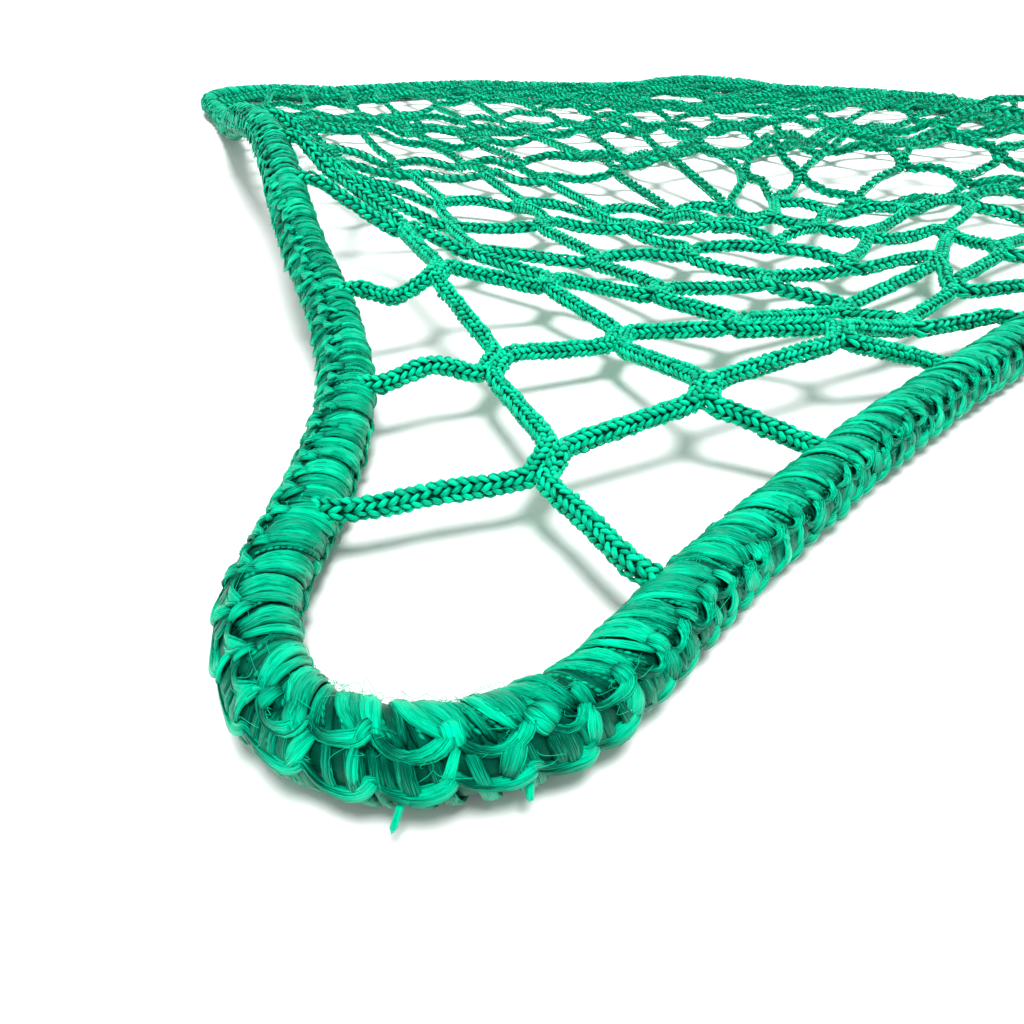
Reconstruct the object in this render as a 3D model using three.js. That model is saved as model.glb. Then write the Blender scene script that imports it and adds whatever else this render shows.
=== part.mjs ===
import * as THREE from 'three';

// A short length of flatbed cover net. Knotless green netting hangs on a covered edge rope, and the
// rope makes a loop at each corner. The net lies on the floor with one corner pulled out to the front
// and the rest gathered in low folds. Sizes are in millimetres and +Z is up.

// Netting sizes
const MESHES = 16;
const MESH_PITCH = 30;
const CORD_WIDTH = 3.4;
const CORD_HEIGHT = 3;
const JOINT_LENGTH = 5.2;
const JOINT_HALF_WIDTH = 2.4;
const JOINT_CROTCH = 2;
const JOINT_ROOM = 20;
const JOINT_LEAST = 0.65;
const CORD_LIFT = 0.3;
const LOW_CORD = CORD_HEIGHT / 2 + CORD_LIFT;

// How far the netting is drawn together away from the pulled corner, by the sum of the mesh numbers
const GATHER = 0.4;
const GATHER_FROM = 5;
const GATHER_TO = 12;
const EVEN_ROUNDS = 30;
const PULL_LONG = 0.7;
const PUSH_SHORT = 0.3;
const EVEN_SHARE = 0.12;
const ROPE_CLEAR = 15.2;
const CLEAR_MESHES = 2;

// Slack cords bow to the side and up or down, less near the pulled corner by the sum of the mesh numbers
const BOW_SHARE = 0.35;
const BOW_MOST = 5;
const BOW_OF_CHORD = 0.2;
const BOW_SIDE = 0.4;
const BOW_RISE = 0.45;
const TAUT_TO = 4;
const SLACK_FROM = 12;
const LEAN_BY_LINE = 1.7;
const LEAN_BY_MESH = 2.3;

// Edge rope sizes
const ROPE_SIZE = 9.5;
const ROPE_SIDES = 8;
const ROPE_STEP = 6;
const ROPE_POINTS = 24;
const SEAM_GAP = 0.6;
const HOLD_RISE = 2.6;
const HOLD_FADE = 3.5;

const GREEN_CORD = 0x009b66;
const GREEN_ROPE = 0x00a76e;

// Turns rows of numbers into rows with named columns
const table = (columns, rows) => {
  const names = columns.split(' ');
  return rows.map((row) => Object.fromEntries(names.map((name, k) => [name, row[k]])));
};

// The rope's middle line, anticlockwise from the tip of the near loop, with its rise off the floor
const ROPE_PATH = table('x y rise', [
  [-8.3, 41, 0],
  [4.5, 45, 0],
  [22.9, 65.1, 0],
  [53.3, 95.6, 0],
  [93.6, 130.9, 0],
  [141, 173, 0],
  [188, 216, 0],
  [236, 255, 0],
  [283, 284, 0],
  [314, 298, 0],
  [328, 320, 0],
  [314, 344, 0],
  [276, 346, 0],
  [246, 358, 0],
  [232, 390, 0],
  [226, 426, 0],
  [204, 456, 0],
  [174, 472, 0],
  [148, 484, 0],
  [136, 510, 0],
  [112, 526, 0],
  [88, 514, 0],
  [72, 496, 0],
  [44, 490, 0],
  [14, 494, 0],
  [-16, 500, 0],
  [-46, 496, 0],
  [-74, 484, 0],
  [-96, 474, 0],
  [-114, 478, 0],
  [-130, 482, 0],
  [-154, 470, 0],
  [-156, 442, 0],
  [-136, 396, 0],
  [-116, 346, 3],
  [-98, 296, 11],
  [-79.5, 250, 19.5],
  [-60.3, 206, 21.3],
  [-40.7, 150, 11.3],
  [-30.1, 123.8, 5.3],
  [-25.4, 104.1, 2],
  [-25.5, 80.1, 0],
  [-26.5, 57.6, 0],
  [-20, 44.9, 0],
]);

// Each side starts at a loop's tip, a row of the path. The netting is held from `first` past one tip
// to `last` short of the other, `spread` wider in all towards the pulled corner, with `gap` more
// between two holds after the first `before` of them.
const SIDES = table('tip first last spread before gap', [
  [0, 33.5, 44, 64, 2, 6],
  [10, 38, 38, 0, 0, 0],
  [20, 38, 38, 0, 0, 0],
  [31, 44, 44, 20, 3, 20],
]);

// Joints of the pulled corner, by mesh along the right side and mesh along the left side
const PULLED = table('right left x y z', [
  [1, 1, 4.6, 83.9, 8],
  [1, 2, -2.9, 114.2, 8],
  [1, 3, -14, 142, 14],
  [1, 4, -23.5, 171.3, 14],
  [1, 5, -41, 194, 20],
  [2, 1, 28, 99.2, 10.6],
  [2, 2, 19.2, 128.3, 6.4],
  [2, 3, 7.6, 153.6, 8],
  [2, 4, -8.3, 174.7, 8],
  [3, 1, 53.5, 117, 12],
  [3, 2, 40.4, 131.4, 8],
  [3, 3, 29.4, 148.2, 8],
  [3, 4, 19.1, 175.3, 6],
  [4, 3, 55, 161, 6],
  [4, 4, 41.8, 181, 6],
  [4, 5, 31.1, 203, 6],
  [5, 3, 76, 172, 6],
  [5, 4, 64, 188, 6],
  [5, 5, 53, 206, 6],
  [6, 3, 89, 194, 6.5],
  [6, 4, 80, 204, 6],
  [6, 5, 71, 213, 6],
]);
// Slack cords beside the left rope, by the joint they start from, with the rise of their middles
const SLACK = table('right left rise', [
  [0, 2, 2.2],
  [0, 3, -2.6],
]);
const PULLED_MESHES = 4;
const PULL_FADE = 3;
const PULL_SOFT = 0.05;

// Low folds that the gathered netting lies in
const FOLDS = table('x y heading length width height', [
  [-62, 212, 109, 80, 20, 17],
  [120, 285, 6, 105, 20, 13],
  [36, 204, -20, 60, 13, 4],
  [180, 300, 42, 60, 22, 9],
  [120, 216, 30, 70, 11, 4],
  [40, 336, 12, 110, 16, 9],
  [-60, 330, 70, 60, 15, 7],
  [60, 410, -14, 120, 16, 7],
  [190, 390, -40, 60, 18, 8],
]);

// Small unevenness from joint to joint
const RIPPLES = table('right left height', [
  [2.3, 1.1, 0.6],
  [1.3, -2.9, 0.5],
]);
const RIPPLE_BASE = 0.6;
const EDGE_RISE = 5;
const EDGE_FADE = 1.5;

const UP = new THREE.Vector3(0, 0, 1);
const smooth = (from, to, value) => THREE.MathUtils.smoothstep(value, from, to);

// The rope's middle line as close points with their distances along it
const ropeLine = () => {
  const corners = ROPE_PATH.map(({ x, y, rise }) => new THREE.Vector3(x, y, ROPE_SIZE / 2 + rise));
  const curve = new THREE.CatmullRomCurve3(corners, true, 'centripetal');
  const count = corners.length * ROPE_POINTS;
  const points = Array.from({ length: count + 1 }, (_, k) => curve.getPoint((k % count) / count));
  points.forEach((point) => point.setZ(Math.max(point.z, ROPE_SIZE / 2)));
  const reached = [0];
  for (let k = 1; k <= count; k += 1) {
    reached.push(reached[k - 1] + points[k].distanceTo(points[k - 1]));
  }
  return { points, reached, length: reached[count] };
};

const rope = ropeLine();

// The point of the rope's middle line at a distance along it
const ropeAt = (distance) => {
  const s = THREE.MathUtils.euclideanModulo(distance, rope.length);
  let low = 0;
  let high = rope.points.length - 1;
  while (high - low > 1) {
    const middle = (low + high) >> 1;
    if (rope.reached[middle] > s) high = middle;
    else low = middle;
  }
  const share = (s - rope.reached[low]) / (rope.reached[high] - rope.reached[low]);
  return rope.points[low].clone().lerp(rope.points[high], share);
};

// The rope's direction, its level inward side and its upward side
const ropeFrame = (distance) => {
  const along = ropeAt(distance + 1).sub(ropeAt(distance - 1)).normalize();
  const inward = new THREE.Vector3().crossVectors(UP, along).normalize();
  const up = new THREE.Vector3().crossVectors(along, inward);
  return { along, inward, up };
};

// Distances from a side's first tip to each of its holds
const holdsOf = (run, { first, last, spread, before, gap }) => {
  const spaces = MESHES - 2;
  const even = (run - first - last - spread - gap) / spaces;
  const all = 1 - Math.exp(-spaces / HOLD_FADE);
  return Array.from(
    { length: MESHES - 1 },
    (_, k) => first + even * k + (spread * (1 - Math.exp(-k / HOLD_FADE))) / all + (k >= before ? gap : 0),
  );
};

// Where the netting's edge meets the rope, as distances along the rope by mesh numbers
const ropeHolds = () => {
  const tips = SIDES.map(({ tip }) => rope.reached[tip * ROPE_POINTS]);
  const ends = [...tips.slice(1), rope.length];
  const holds = SIDES.map((side, k) => holdsOf(ends[k] - tips[k], side));
  const at = Array.from({ length: MESHES + 1 }, () => []);
  [at[0][0], at[MESHES][0], at[MESHES][MESHES], at[0][MESHES]] = tips;
  for (let k = 1; k < MESHES; k += 1) {
    at[k][0] = tips[0] + holds[0][k - 1];
    at[MESHES][k] = tips[1] + holds[1][k - 1];
    at[MESHES - k][MESHES] = tips[2] + holds[2][k - 1];
    at[0][k] = rope.length - holds[3][k - 1];
  }
  return at;
};

const holds = ropeHolds();
const onRope = (a, b) => a === 0 || b === 0 || a === MESHES || b === MESHES;

// Runs a function for every joint inside the rope
const eachJoint = (run) => {
  for (let a = 1; a < MESHES; a += 1) {
    for (let b = 1; b < MESHES; b += 1) run(a, b);
  }
};

// Joints spread evenly between the four sides of the rope
const spreadJoints = () => {
  const grid = holds.map((row) => Array.from(row, (s) => (s === undefined ? new THREE.Vector3() : ropeAt(s))));
  const [near, right, far, left] = [grid[0][0], grid[MESHES][0], grid[MESHES][MESHES], grid[0][MESHES]];
  eachJoint((a, b) => {
    const u = a / MESHES;
    const v = b / MESHES;
    grid[a][b] = new THREE.Vector3()
      .addScaledVector(grid[a][0], 1 - v)
      .addScaledVector(grid[a][MESHES], v)
      .addScaledVector(grid[0][b], 1 - u)
      .addScaledVector(grid[MESHES][b], u)
      .addScaledVector(near, -(1 - u) * (1 - v))
      .addScaledVector(right, -u * (1 - v))
      .addScaledVector(left, -(1 - u) * v)
      .addScaledVector(far, -u * v);
  });
  return grid;
};

// Moves the joints by the pulled corner, less and less further away
const pullCorner = (grid) => {
  const pulls = PULLED.map(({ right, left, x, y, z }) => ({
    right,
    left,
    shift: new THREE.Vector3(x, y, z).sub(grid[right][left]),
  }));
  eachJoint((a, b) => {
    const shift = new THREE.Vector3();
    let sum = 0;
    pulls.forEach((pull) => {
      const weight = ((a - pull.right) ** 2 + (b - pull.left) ** 2 + PULL_SOFT) ** -2;
      shift.addScaledVector(pull.shift, weight);
      sum += weight;
    });
    const beyond = Math.max(a - PULLED_MESHES, b - PULLED_MESHES, 0);
    grid[a][b].addScaledVector(shift, Math.exp(-beyond / PULL_FADE) / sum);
  });
  PULLED.forEach(({ right, left, x, y, z }) => grid[right][left].set(x, y, z));
};

// Moves a joint in from the rope where it would lie too near it
const clearRope = (joint) => {
  let nearest = 0;
  let least = Infinity;
  rope.points.forEach((point, k) => {
    const distance = (point.x - joint.x) ** 2 + (point.y - joint.y) ** 2;
    if (distance < least) [least, nearest] = [distance, k];
  });
  const { inward } = ropeFrame(rope.reached[nearest]);
  const away = joint.clone().sub(rope.points[nearest]).dot(inward);
  if (away < ROPE_CLEAR) joint.addScaledVector(inward, ROPE_CLEAR - away);
};

const meshesIn = (a, b) => Math.min(a, b, MESHES - a, MESHES - b);

const held = (a, b) => onRope(a, b) || PULLED.some(({ right, left }) => right === a && left === b);

// Draws the joints together in plan until the cords are near their gathered length
const gatherJoints = (grid) => {
  const free = grid.map((row, a) => row.map((_, b) => (held(a, b) ? 0 : 1)));
  const reach = (sum) => MESH_PITCH * (1 - GATHER * smooth(GATHER_FROM, GATHER_TO, sum));
  const ease = (a, b, c, d) => {
    const share = free[a][b] + free[c][d];
    if (share === 0) return;
    const cord = grid[c][d].clone().sub(grid[a][b]).setZ(0);
    const length = cord.length();
    const wanted = reach((a + b + c + d) / 2);
    const strength = length > wanted ? PULL_LONG : PUSH_SHORT;
    cord.multiplyScalar(((length - wanted) * strength) / (length * share));
    grid[a][b].addScaledVector(cord, free[a][b]);
    grid[c][d].addScaledVector(cord, -free[c][d]);
  };
  for (let round = 0; round < EVEN_ROUNDS; round += 1) {
    for (let odd = 0; odd < 2; odd += 1) {
      for (let a = odd; a < MESHES; a += 2) {
        for (let b = 1; b < MESHES; b += 1) ease(a, b, a + 1, b);
      }
      for (let b = odd; b < MESHES; b += 2) {
        for (let a = 1; a < MESHES; a += 1) ease(a, b, a, b + 1);
      }
    }
    const middles = grid.map((row) => row.map((joint) => joint.clone()));
    eachJoint((a, b) => {
      middles[a][b]
        .copy(grid[a - 1][b])
        .add(grid[a + 1][b])
        .add(grid[a][b - 1])
        .add(grid[a][b + 1])
        .multiplyScalar(1 / 4);
    });
    eachJoint((a, b) => grid[a][b].lerp(middles[a][b], EVEN_SHARE * free[a][b]));
    eachJoint((a, b) => {
      if (free[a][b] && meshesIn(a, b) <= CLEAR_MESHES) clearRope(grid[a][b]);
    });
  }
};

// The height that the folds add at a place
const foldHeight = (x, y) =>
  FOLDS.reduce((sum, fold) => {
    const heading = THREE.MathUtils.degToRad(fold.heading);
    const along = (x - fold.x) * Math.cos(heading) + (y - fold.y) * Math.sin(heading);
    const across = (y - fold.y) * Math.cos(heading) - (x - fold.x) * Math.sin(heading);
    return sum + fold.height * Math.exp(-((along / fold.length) ** 2) - (across / fold.width) ** 2);
  }, 0);

const raiseJoints = (grid) => {
  eachJoint((a, b) => {
    if (held(a, b)) return;
    const joint = grid[a][b];
    const edge = EDGE_RISE * Math.exp(-(meshesIn(a, b) - 1) / EDGE_FADE);
    const ripple = RIPPLES.reduce((sum, r) => sum + r.height * Math.sin(r.right * a + r.left * b), RIPPLE_BASE);
    joint.z = LOW_CORD + Math.max(0, edge + ripple + foldHeight(joint.x, joint.y));
  });
};

const layNet = () => {
  const grid = spreadJoints();
  pullCorner(grid);
  gatherJoints(grid);
  raiseJoints(grid);
  return grid;
};

// Collects the faces of one solid
class Shell {
  constructor() {
    this.corners = [];
  }

  triangle(p, q, r) {
    [p, q, r].forEach((point) => this.corners.push(point.x, point.y, point.z));
  }

  quad(p, q, r, s) {
    this.triangle(p, q, r);
    this.triangle(p, r, s);
  }

  geometry() {
    const geometry = new THREE.BufferGeometry();
    geometry.setAttribute('position', new THREE.Float32BufferAttribute(this.corners, 3));
    geometry.computeVertexNormals();
    return geometry;
  }
}

// A point of the netting with its upper and lower face
const thick = (point) => {
  const z = Math.max(point.z, LOW_CORD);
  return {
    top: new THREE.Vector3(point.x, point.y, z + CORD_HEIGHT / 2),
    bottom: new THREE.Vector3(point.x, point.y, z - CORD_HEIGHT / 2),
  };
};

const roundJoint = (a, b) => [
  [a + 1, b],
  [a, b + 1],
  [a - 1, b],
  [a, b - 1],
];

// The clear distance from a joint to a neighbour, or to the rope's inner face
const roomTo = (grid, a, b, c, d) =>
  grid[a][b].distanceTo(grid[c][d]) - (onRope(c, d) ? ROPE_SIZE / 2 : 0);

// A joint is a long hexagon, because two cords run side by side in it. Its corners run anticlockwise
// from the right far one, and two cords leave each of its ends. It is drawn tighter where its cords
// are bunched.
const jointCorners = (grid, a, b) => {
  const along = new THREE.Vector3()
    .add(grid[a + 1][b])
    .add(grid[a][b + 1])
    .sub(grid[a - 1][b])
    .sub(grid[a][b - 1])
    .normalize();
  const side = new THREE.Vector3().crossVectors(along, UP).normalize();
  const room = Math.min(...roundJoint(a, b).map(([c, d]) => roomTo(grid, a, b, c, d)));
  const size = THREE.MathUtils.clamp(room / JOINT_ROOM, JOINT_LEAST, 1);
  const half = JOINT_LENGTH / 2;
  const places = table('along side', [
    [half, JOINT_HALF_WIDTH],
    [half + JOINT_CROTCH, 0],
    [half, -JOINT_HALF_WIDTH],
    [-half, -JOINT_HALF_WIDTH],
    [-half - JOINT_CROTCH, 0],
    [-half, JOINT_HALF_WIDTH],
  ]);
  return places.map((place) =>
    thick(
      grid[a][b]
        .clone()
        .addScaledVector(along, place.along * size)
        .addScaledVector(side, place.side * size),
    ),
  );
};

// The end of a cord at the rope, beside its inner face, with `turn` 1 for a cord that starts there
const ropeEnd = (a, b, turn) => {
  const { along, inward } = ropeFrame(holds[a][b]);
  const middle = ropeAt(holds[a][b]).addScaledVector(inward, ROPE_SIZE / 2 + SEAM_GAP);
  middle.z += HOLD_RISE;
  const edge = (share) => thick(middle.clone().addScaledVector(along, (share * turn * CORD_WIDTH) / 2));
  return { left: edge(-1), right: edge(1) };
};

const middleOf = (end) =>
  new THREE.Vector3()
    .add(end.left.top)
    .add(end.left.bottom)
    .add(end.right.top)
    .add(end.right.bottom)
    .multiplyScalar(1 / 4);

// The middle of a cord, bowed by its slack
const cordMiddle = (start, end, free, slackness, rise, lean, lift) => {
  const from = middleOf(start);
  const to = middleOf(end);
  const chord = from.distanceTo(to);
  const slack = Math.sqrt(Math.max(0, free ** 2 - chord ** 2));
  const bow = slackness * Math.min(BOW_MOST, BOW_SHARE * slack, BOW_OF_CHORD * chord);
  const left = new THREE.Vector3().crossVectors(UP, to.clone().sub(from)).normalize();
  const middle = from.lerp(to, 1 / 2).addScaledVector(left, BOW_SIDE * bow * lean);
  middle.z += BOW_RISE * bow * rise + lift;
  const edge = (share) => thick(middle.clone().addScaledVector(left, (share * CORD_WIDTH) / 2));
  return { left: edge(1), right: edge(-1) };
};

const addBar = (shell, from, to) => {
  shell.quad(from.right.top, to.right.top, to.left.top, from.left.top);
  shell.quad(from.left.bottom, to.left.bottom, to.right.bottom, from.right.bottom);
  shell.quad(from.left.bottom, from.left.top, to.left.top, to.left.bottom);
  shell.quad(from.right.bottom, to.right.bottom, to.right.top, from.right.top);
};

const addJoint = (shell, corners) => {
  const fan = [
    [0, 1, 2],
    [0, 2, 3],
    [0, 3, 5],
    [3, 4, 5],
  ];
  fan.forEach(([p, q, r]) => {
    shell.triangle(corners[p].top, corners[q].top, corners[r].top);
    shell.triangle(corners[r].bottom, corners[q].bottom, corners[p].bottom);
  });
  const walls = [
    [2, 3],
    [5, 0],
  ];
  walls.forEach(([p, q]) => shell.quad(corners[p].bottom, corners[q].bottom, corners[q].top, corners[p].top));
};

const buildNet = () => {
  const grid = layNet();
  const shell = new Shell();
  const joints = grid.map((row, a) => row.map((_, b) => (onRope(a, b) ? null : jointCorners(grid, a, b))));
  eachJoint((a, b) => addJoint(shell, joints[a][b]));
  const addCord = (a, b, stepRight, roots, rise, lean) => {
    const c = a + stepRight;
    const d = b + 1 - stepRight;
    const ends = [onRope(a, b), onRope(c, d)];
    const start = ends[0]
      ? ropeEnd(a, b, 1)
      : { left: joints[a][b][roots.leave[0]], right: joints[a][b][roots.leave[1]] };
    const end = ends[1]
      ? ropeEnd(c, d, -1)
      : { left: joints[c][d][roots.arrive[0]], right: joints[c][d][roots.arrive[1]] };
    const free = MESH_PITCH - JOINT_LENGTH - (ends[0] || ends[1] ? JOINT_LENGTH / 2 : 0);
    const slackness = smooth(TAUT_TO, SLACK_FROM, a + b);
    const loose = SLACK.find(({ right, left }) => stepRight === 1 && right === a && left === b);
    const middle = cordMiddle(start, end, free, slackness, rise, lean, loose ? loose.rise : 0);
    addBar(shell, start, middle);
    addBar(shell, middle, end);
    if (ends[0]) shell.quad(start.left.bottom, start.right.bottom, start.right.top, start.left.top);
    if (ends[1]) shell.quad(end.right.bottom, end.left.bottom, end.left.top, end.right.top);
  };
  const rightRoots = { leave: [1, 0], arrive: [3, 4] };
  const leftRoots = { leave: [2, 1], arrive: [4, 5] };
  for (let line = 1; line < MESHES; line += 1) {
    for (let mesh = 0; mesh < MESHES; mesh += 1) {
      const lean = Math.sin(LEAN_BY_LINE * line + LEAN_BY_MESH * mesh);
      addCord(mesh, line, 1, rightRoots, line % 2 === 0 ? 1 : -1, lean);
      addCord(line, mesh, 0, leftRoots, line % 2 === 1 ? 1 : -1, lean);
    }
  }
  return shell.geometry();
};

// The covered rope, a closed ring of even eight-sided sections that lie flat on the floor
const buildRope = () => {
  const steps = Math.round(rope.length / ROPE_STEP);
  const corner = ROPE_SIZE / 2 / Math.cos(Math.PI / ROPE_SIDES);
  const rings = Array.from({ length: steps }, (_, k) => {
    const distance = (k * rope.length) / steps;
    const { inward, up } = ropeFrame(distance);
    const middle = ropeAt(distance);
    return Array.from({ length: ROPE_SIDES }, (__, side) => {
      const angle = ((side + 1 / 2) * 2 * Math.PI) / ROPE_SIDES;
      return middle
        .clone()
        .addScaledVector(inward, corner * Math.cos(angle))
        .addScaledVector(up, corner * Math.sin(angle));
    });
  });
  const shell = new Shell();
  rings.forEach((ring, k) => {
    const next = rings[(k + 1) % steps];
    ring.forEach((point, side) => {
      const turn = (side + 1) % ROPE_SIDES;
      shell.quad(point, ring[turn], next[turn], next[side]);
    });
  });
  return shell.geometry();
};

const pieces = [
  { name: 'net', geometry: buildNet(), colour: GREEN_CORD },
  { name: 'edge_rope', geometry: buildRope(), colour: GREEN_ROPE },
];

// The origin is under the middle of the footprint, on the floor
const box = new THREE.Box3();
pieces.forEach(({ geometry }) => {
  geometry.computeBoundingBox();
  box.union(geometry.boundingBox);
});
const centre = box.getCenter(new THREE.Vector3());

const group = new THREE.Group();
group.name = 'flatbed_cover_net';
pieces.forEach(({ name, geometry, colour }) => {
  geometry.translate(-centre.x, -centre.y, -box.min.z);
  const material = new THREE.MeshStandardMaterial({ color: colour, roughness: 0.5, metalness: 0 });
  const mesh = new THREE.Mesh(geometry, material);
  mesh.name = name;
  group.add(mesh);
});

export default group;
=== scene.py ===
import math
from collections import namedtuple

import bpy
import numpy as np
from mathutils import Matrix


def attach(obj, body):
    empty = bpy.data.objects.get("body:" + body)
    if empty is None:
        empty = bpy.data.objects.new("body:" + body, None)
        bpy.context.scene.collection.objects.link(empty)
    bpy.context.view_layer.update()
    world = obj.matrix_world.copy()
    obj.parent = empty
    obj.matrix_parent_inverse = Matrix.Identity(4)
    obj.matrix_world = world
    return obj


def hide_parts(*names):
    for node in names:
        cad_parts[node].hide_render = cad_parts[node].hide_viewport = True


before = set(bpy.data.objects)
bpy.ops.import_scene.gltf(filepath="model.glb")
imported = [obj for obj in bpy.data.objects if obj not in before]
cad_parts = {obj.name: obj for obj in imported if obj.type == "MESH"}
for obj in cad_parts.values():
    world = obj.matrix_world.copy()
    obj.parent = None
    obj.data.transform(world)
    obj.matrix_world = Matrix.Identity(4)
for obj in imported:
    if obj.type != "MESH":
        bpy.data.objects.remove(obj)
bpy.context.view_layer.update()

SEED = 11
rng = np.random.default_rng(SEED)

# Sizes of the net in millimetres, as in the part's source
MM = 0.001
MESHES = 16
MESH_PITCH = 30
CORD_HEIGHT = 3
JOINT_LENGTH = 5.2
JOINT_HALF_WIDTH = 2.4
JOINT_CROTCH = 2
JOINT_ROOM = 20
JOINT_LEAST = 0.65
CORD_LIFT = 0.3
LOW_CORD = CORD_HEIGHT / 2 + CORD_LIFT
GATHER = 0.4
GATHER_FROM = 5
GATHER_TO = 12
EVEN_ROUNDS = 30
PULL_LONG = 0.7
PUSH_SHORT = 0.3
EVEN_SHARE = 0.12
ROPE_CLEAR = 15.2
CLEAR_MESHES = 2
BOW_SHARE = 0.35
BOW_MOST = 5
BOW_OF_CHORD = 0.2
BOW_SIDE = 0.4
BOW_RISE = 0.45
TAUT_TO = 4
SLACK_FROM = 12
LEAN_BY_LINE = 1.7
LEAN_BY_MESH = 2.3
ROPE_SIZE = 9.5
ROPE_POINTS = 24
HOLD_RISE = 2.6
HOLD_FADE = 3.5

# Least lengths, which keep divisions safe
LEAST = 1e-9
LEAST_STEP = 1e-6

# The part's origin in the layout, whose own origin is the point under the camera
ORIGIN = np.array([85.318, 283.502, 0])

# Camera over the layout's origin
CAMERA_HEIGHT = 60
FOCAL_PIXELS = 755
HORIZON_PIXELS = 540
FRAME_PIXELS = 1024
SENSOR = 36
TILT_DOWN = math.atan(HORIZON_PIXELS / FOCAL_PIXELS)

# The rope's middle line, anticlockwise from the tip of the near loop: x, y and its rise off the floor
ROPE_PATH = np.array([
    [-8.3, 41, 0], [4.5, 45, 0], [22.9, 65.1, 0], [53.3, 95.6, 0], [93.6, 130.9, 0], [141, 173, 0],
    [188, 216, 0], [236, 255, 0], [283, 284, 0], [314, 298, 0], [328, 320, 0], [314, 344, 0],
    [276, 346, 0], [246, 358, 0], [232, 390, 0], [226, 426, 0], [204, 456, 0], [174, 472, 0],
    [148, 484, 0], [136, 510, 0], [112, 526, 0], [88, 514, 0], [72, 496, 0], [44, 490, 0],
    [14, 494, 0], [-16, 500, 0], [-46, 496, 0], [-74, 484, 0], [-96, 474, 0], [-114, 478, 0],
    [-130, 482, 0], [-154, 470, 0], [-156, 442, 0], [-136, 396, 0], [-116, 346, 3], [-98, 296, 11],
    [-79.5, 250, 19.5], [-60.3, 206, 21.3], [-40.7, 150, 11.3], [-30.1, 123.8, 5.3],
    [-25.4, 104.1, 2], [-25.5, 80.1, 0], [-26.5, 57.6, 0], [-20, 44.9, 0],
], float)

# Sides of the rope: row of the path at its first tip, first hold, last hold, extra spread, holds before
# a wider gap, and that gap
Side = namedtuple("Side", "tip first last spread before gap")
SIDES = [
    Side(0, 33.5, 44, 64, 2, 6),
    Side(10, 38, 38, 0, 0, 0),
    Side(20, 38, 38, 0, 0, 0),
    Side(31, 44, 44, 20, 3, 20),
]

# Joints of the pulled corner: mesh along the right side, mesh along the left side, x, y, z
Pin = namedtuple("Pin", "right left x y z")
PULLED = [
    Pin(1, 1, 4.6, 83.9, 8),
    Pin(1, 2, -2.9, 114.2, 8),
    Pin(1, 3, -14, 142, 14),
    Pin(1, 4, -23.5, 171.3, 14),
    Pin(1, 5, -41, 194, 20),
    Pin(2, 1, 28, 99.2, 10.6),
    Pin(2, 2, 19.2, 128.3, 6.4),
    Pin(2, 3, 7.6, 153.6, 8),
    Pin(2, 4, -8.3, 174.7, 8),
    Pin(3, 1, 53.5, 117, 12),
    Pin(3, 2, 40.4, 131.4, 8),
    Pin(3, 3, 29.4, 148.2, 8),
    Pin(3, 4, 19.1, 175.3, 6),
    Pin(4, 3, 55, 161, 6),
    Pin(4, 4, 41.8, 181, 6),
    Pin(4, 5, 31.1, 203, 6),
    Pin(5, 3, 76, 172, 6),
    Pin(5, 4, 64, 188, 6),
    Pin(5, 5, 53, 206, 6),
    Pin(6, 3, 89, 194, 6.5),
    Pin(6, 4, 80, 204, 6),
    Pin(6, 5, 71, 213, 6),
]
# Slack cords beside the left rope: the joint they start from and the rise of their middles
SLACK = {(0, 2): 2.2, (0, 3): -2.6}
PULLED_MESHES = 4
PULL_FADE = 3
PULL_SOFT = 0.05
PULL_POWER = -2.0

# Low folds of the gathered netting: x, y, heading, length, width, height
Fold = namedtuple("Fold", "x y heading length width height")
FOLDS = [
    Fold(-62, 212, 109, 80, 20, 17),
    Fold(120, 285, 6, 105, 20, 13),
    Fold(36, 204, -20, 60, 13, 4),
    Fold(180, 300, 42, 60, 22, 9),
    Fold(120, 216, 30, 70, 11, 4),
    Fold(40, 336, 12, 110, 16, 9),
    Fold(-60, 330, 70, 60, 15, 7),
    Fold(60, 410, -14, 120, 16, 7),
    Fold(190, 390, -40, 60, 18, 8),
]

# Unevenness from joint to joint: by mesh to the right, by mesh to the left, height
Ripple = namedtuple("Ripple", "by_right by_left height")
RIPPLES = [Ripple(2.3, 1.1, 0.6), Ripple(1.3, -2.9, 0.5)]
RIPPLE_BASE = 0.6
EDGE_RISE = 5
EDGE_FADE = 1.5

UP = np.array([0.0, 0.0, 1.0])
PLAN = (1, 1, 0)

# Power of the squared distance that sets the spline's steps
CENTRIPETAL = 0.25


def unit(vectors):
    """Vectors of length 1 along the last axis."""
    return vectors / np.maximum(np.linalg.norm(vectors, axis=-1, keepdims=True), LEAST)


def smooth(low, high, value):
    """A share from 0 to 1 that rises smoothly between two values."""
    share = np.clip((value - low) / (high - low), 0, 1)
    return share * share * (3 - 2 * share)


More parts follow.
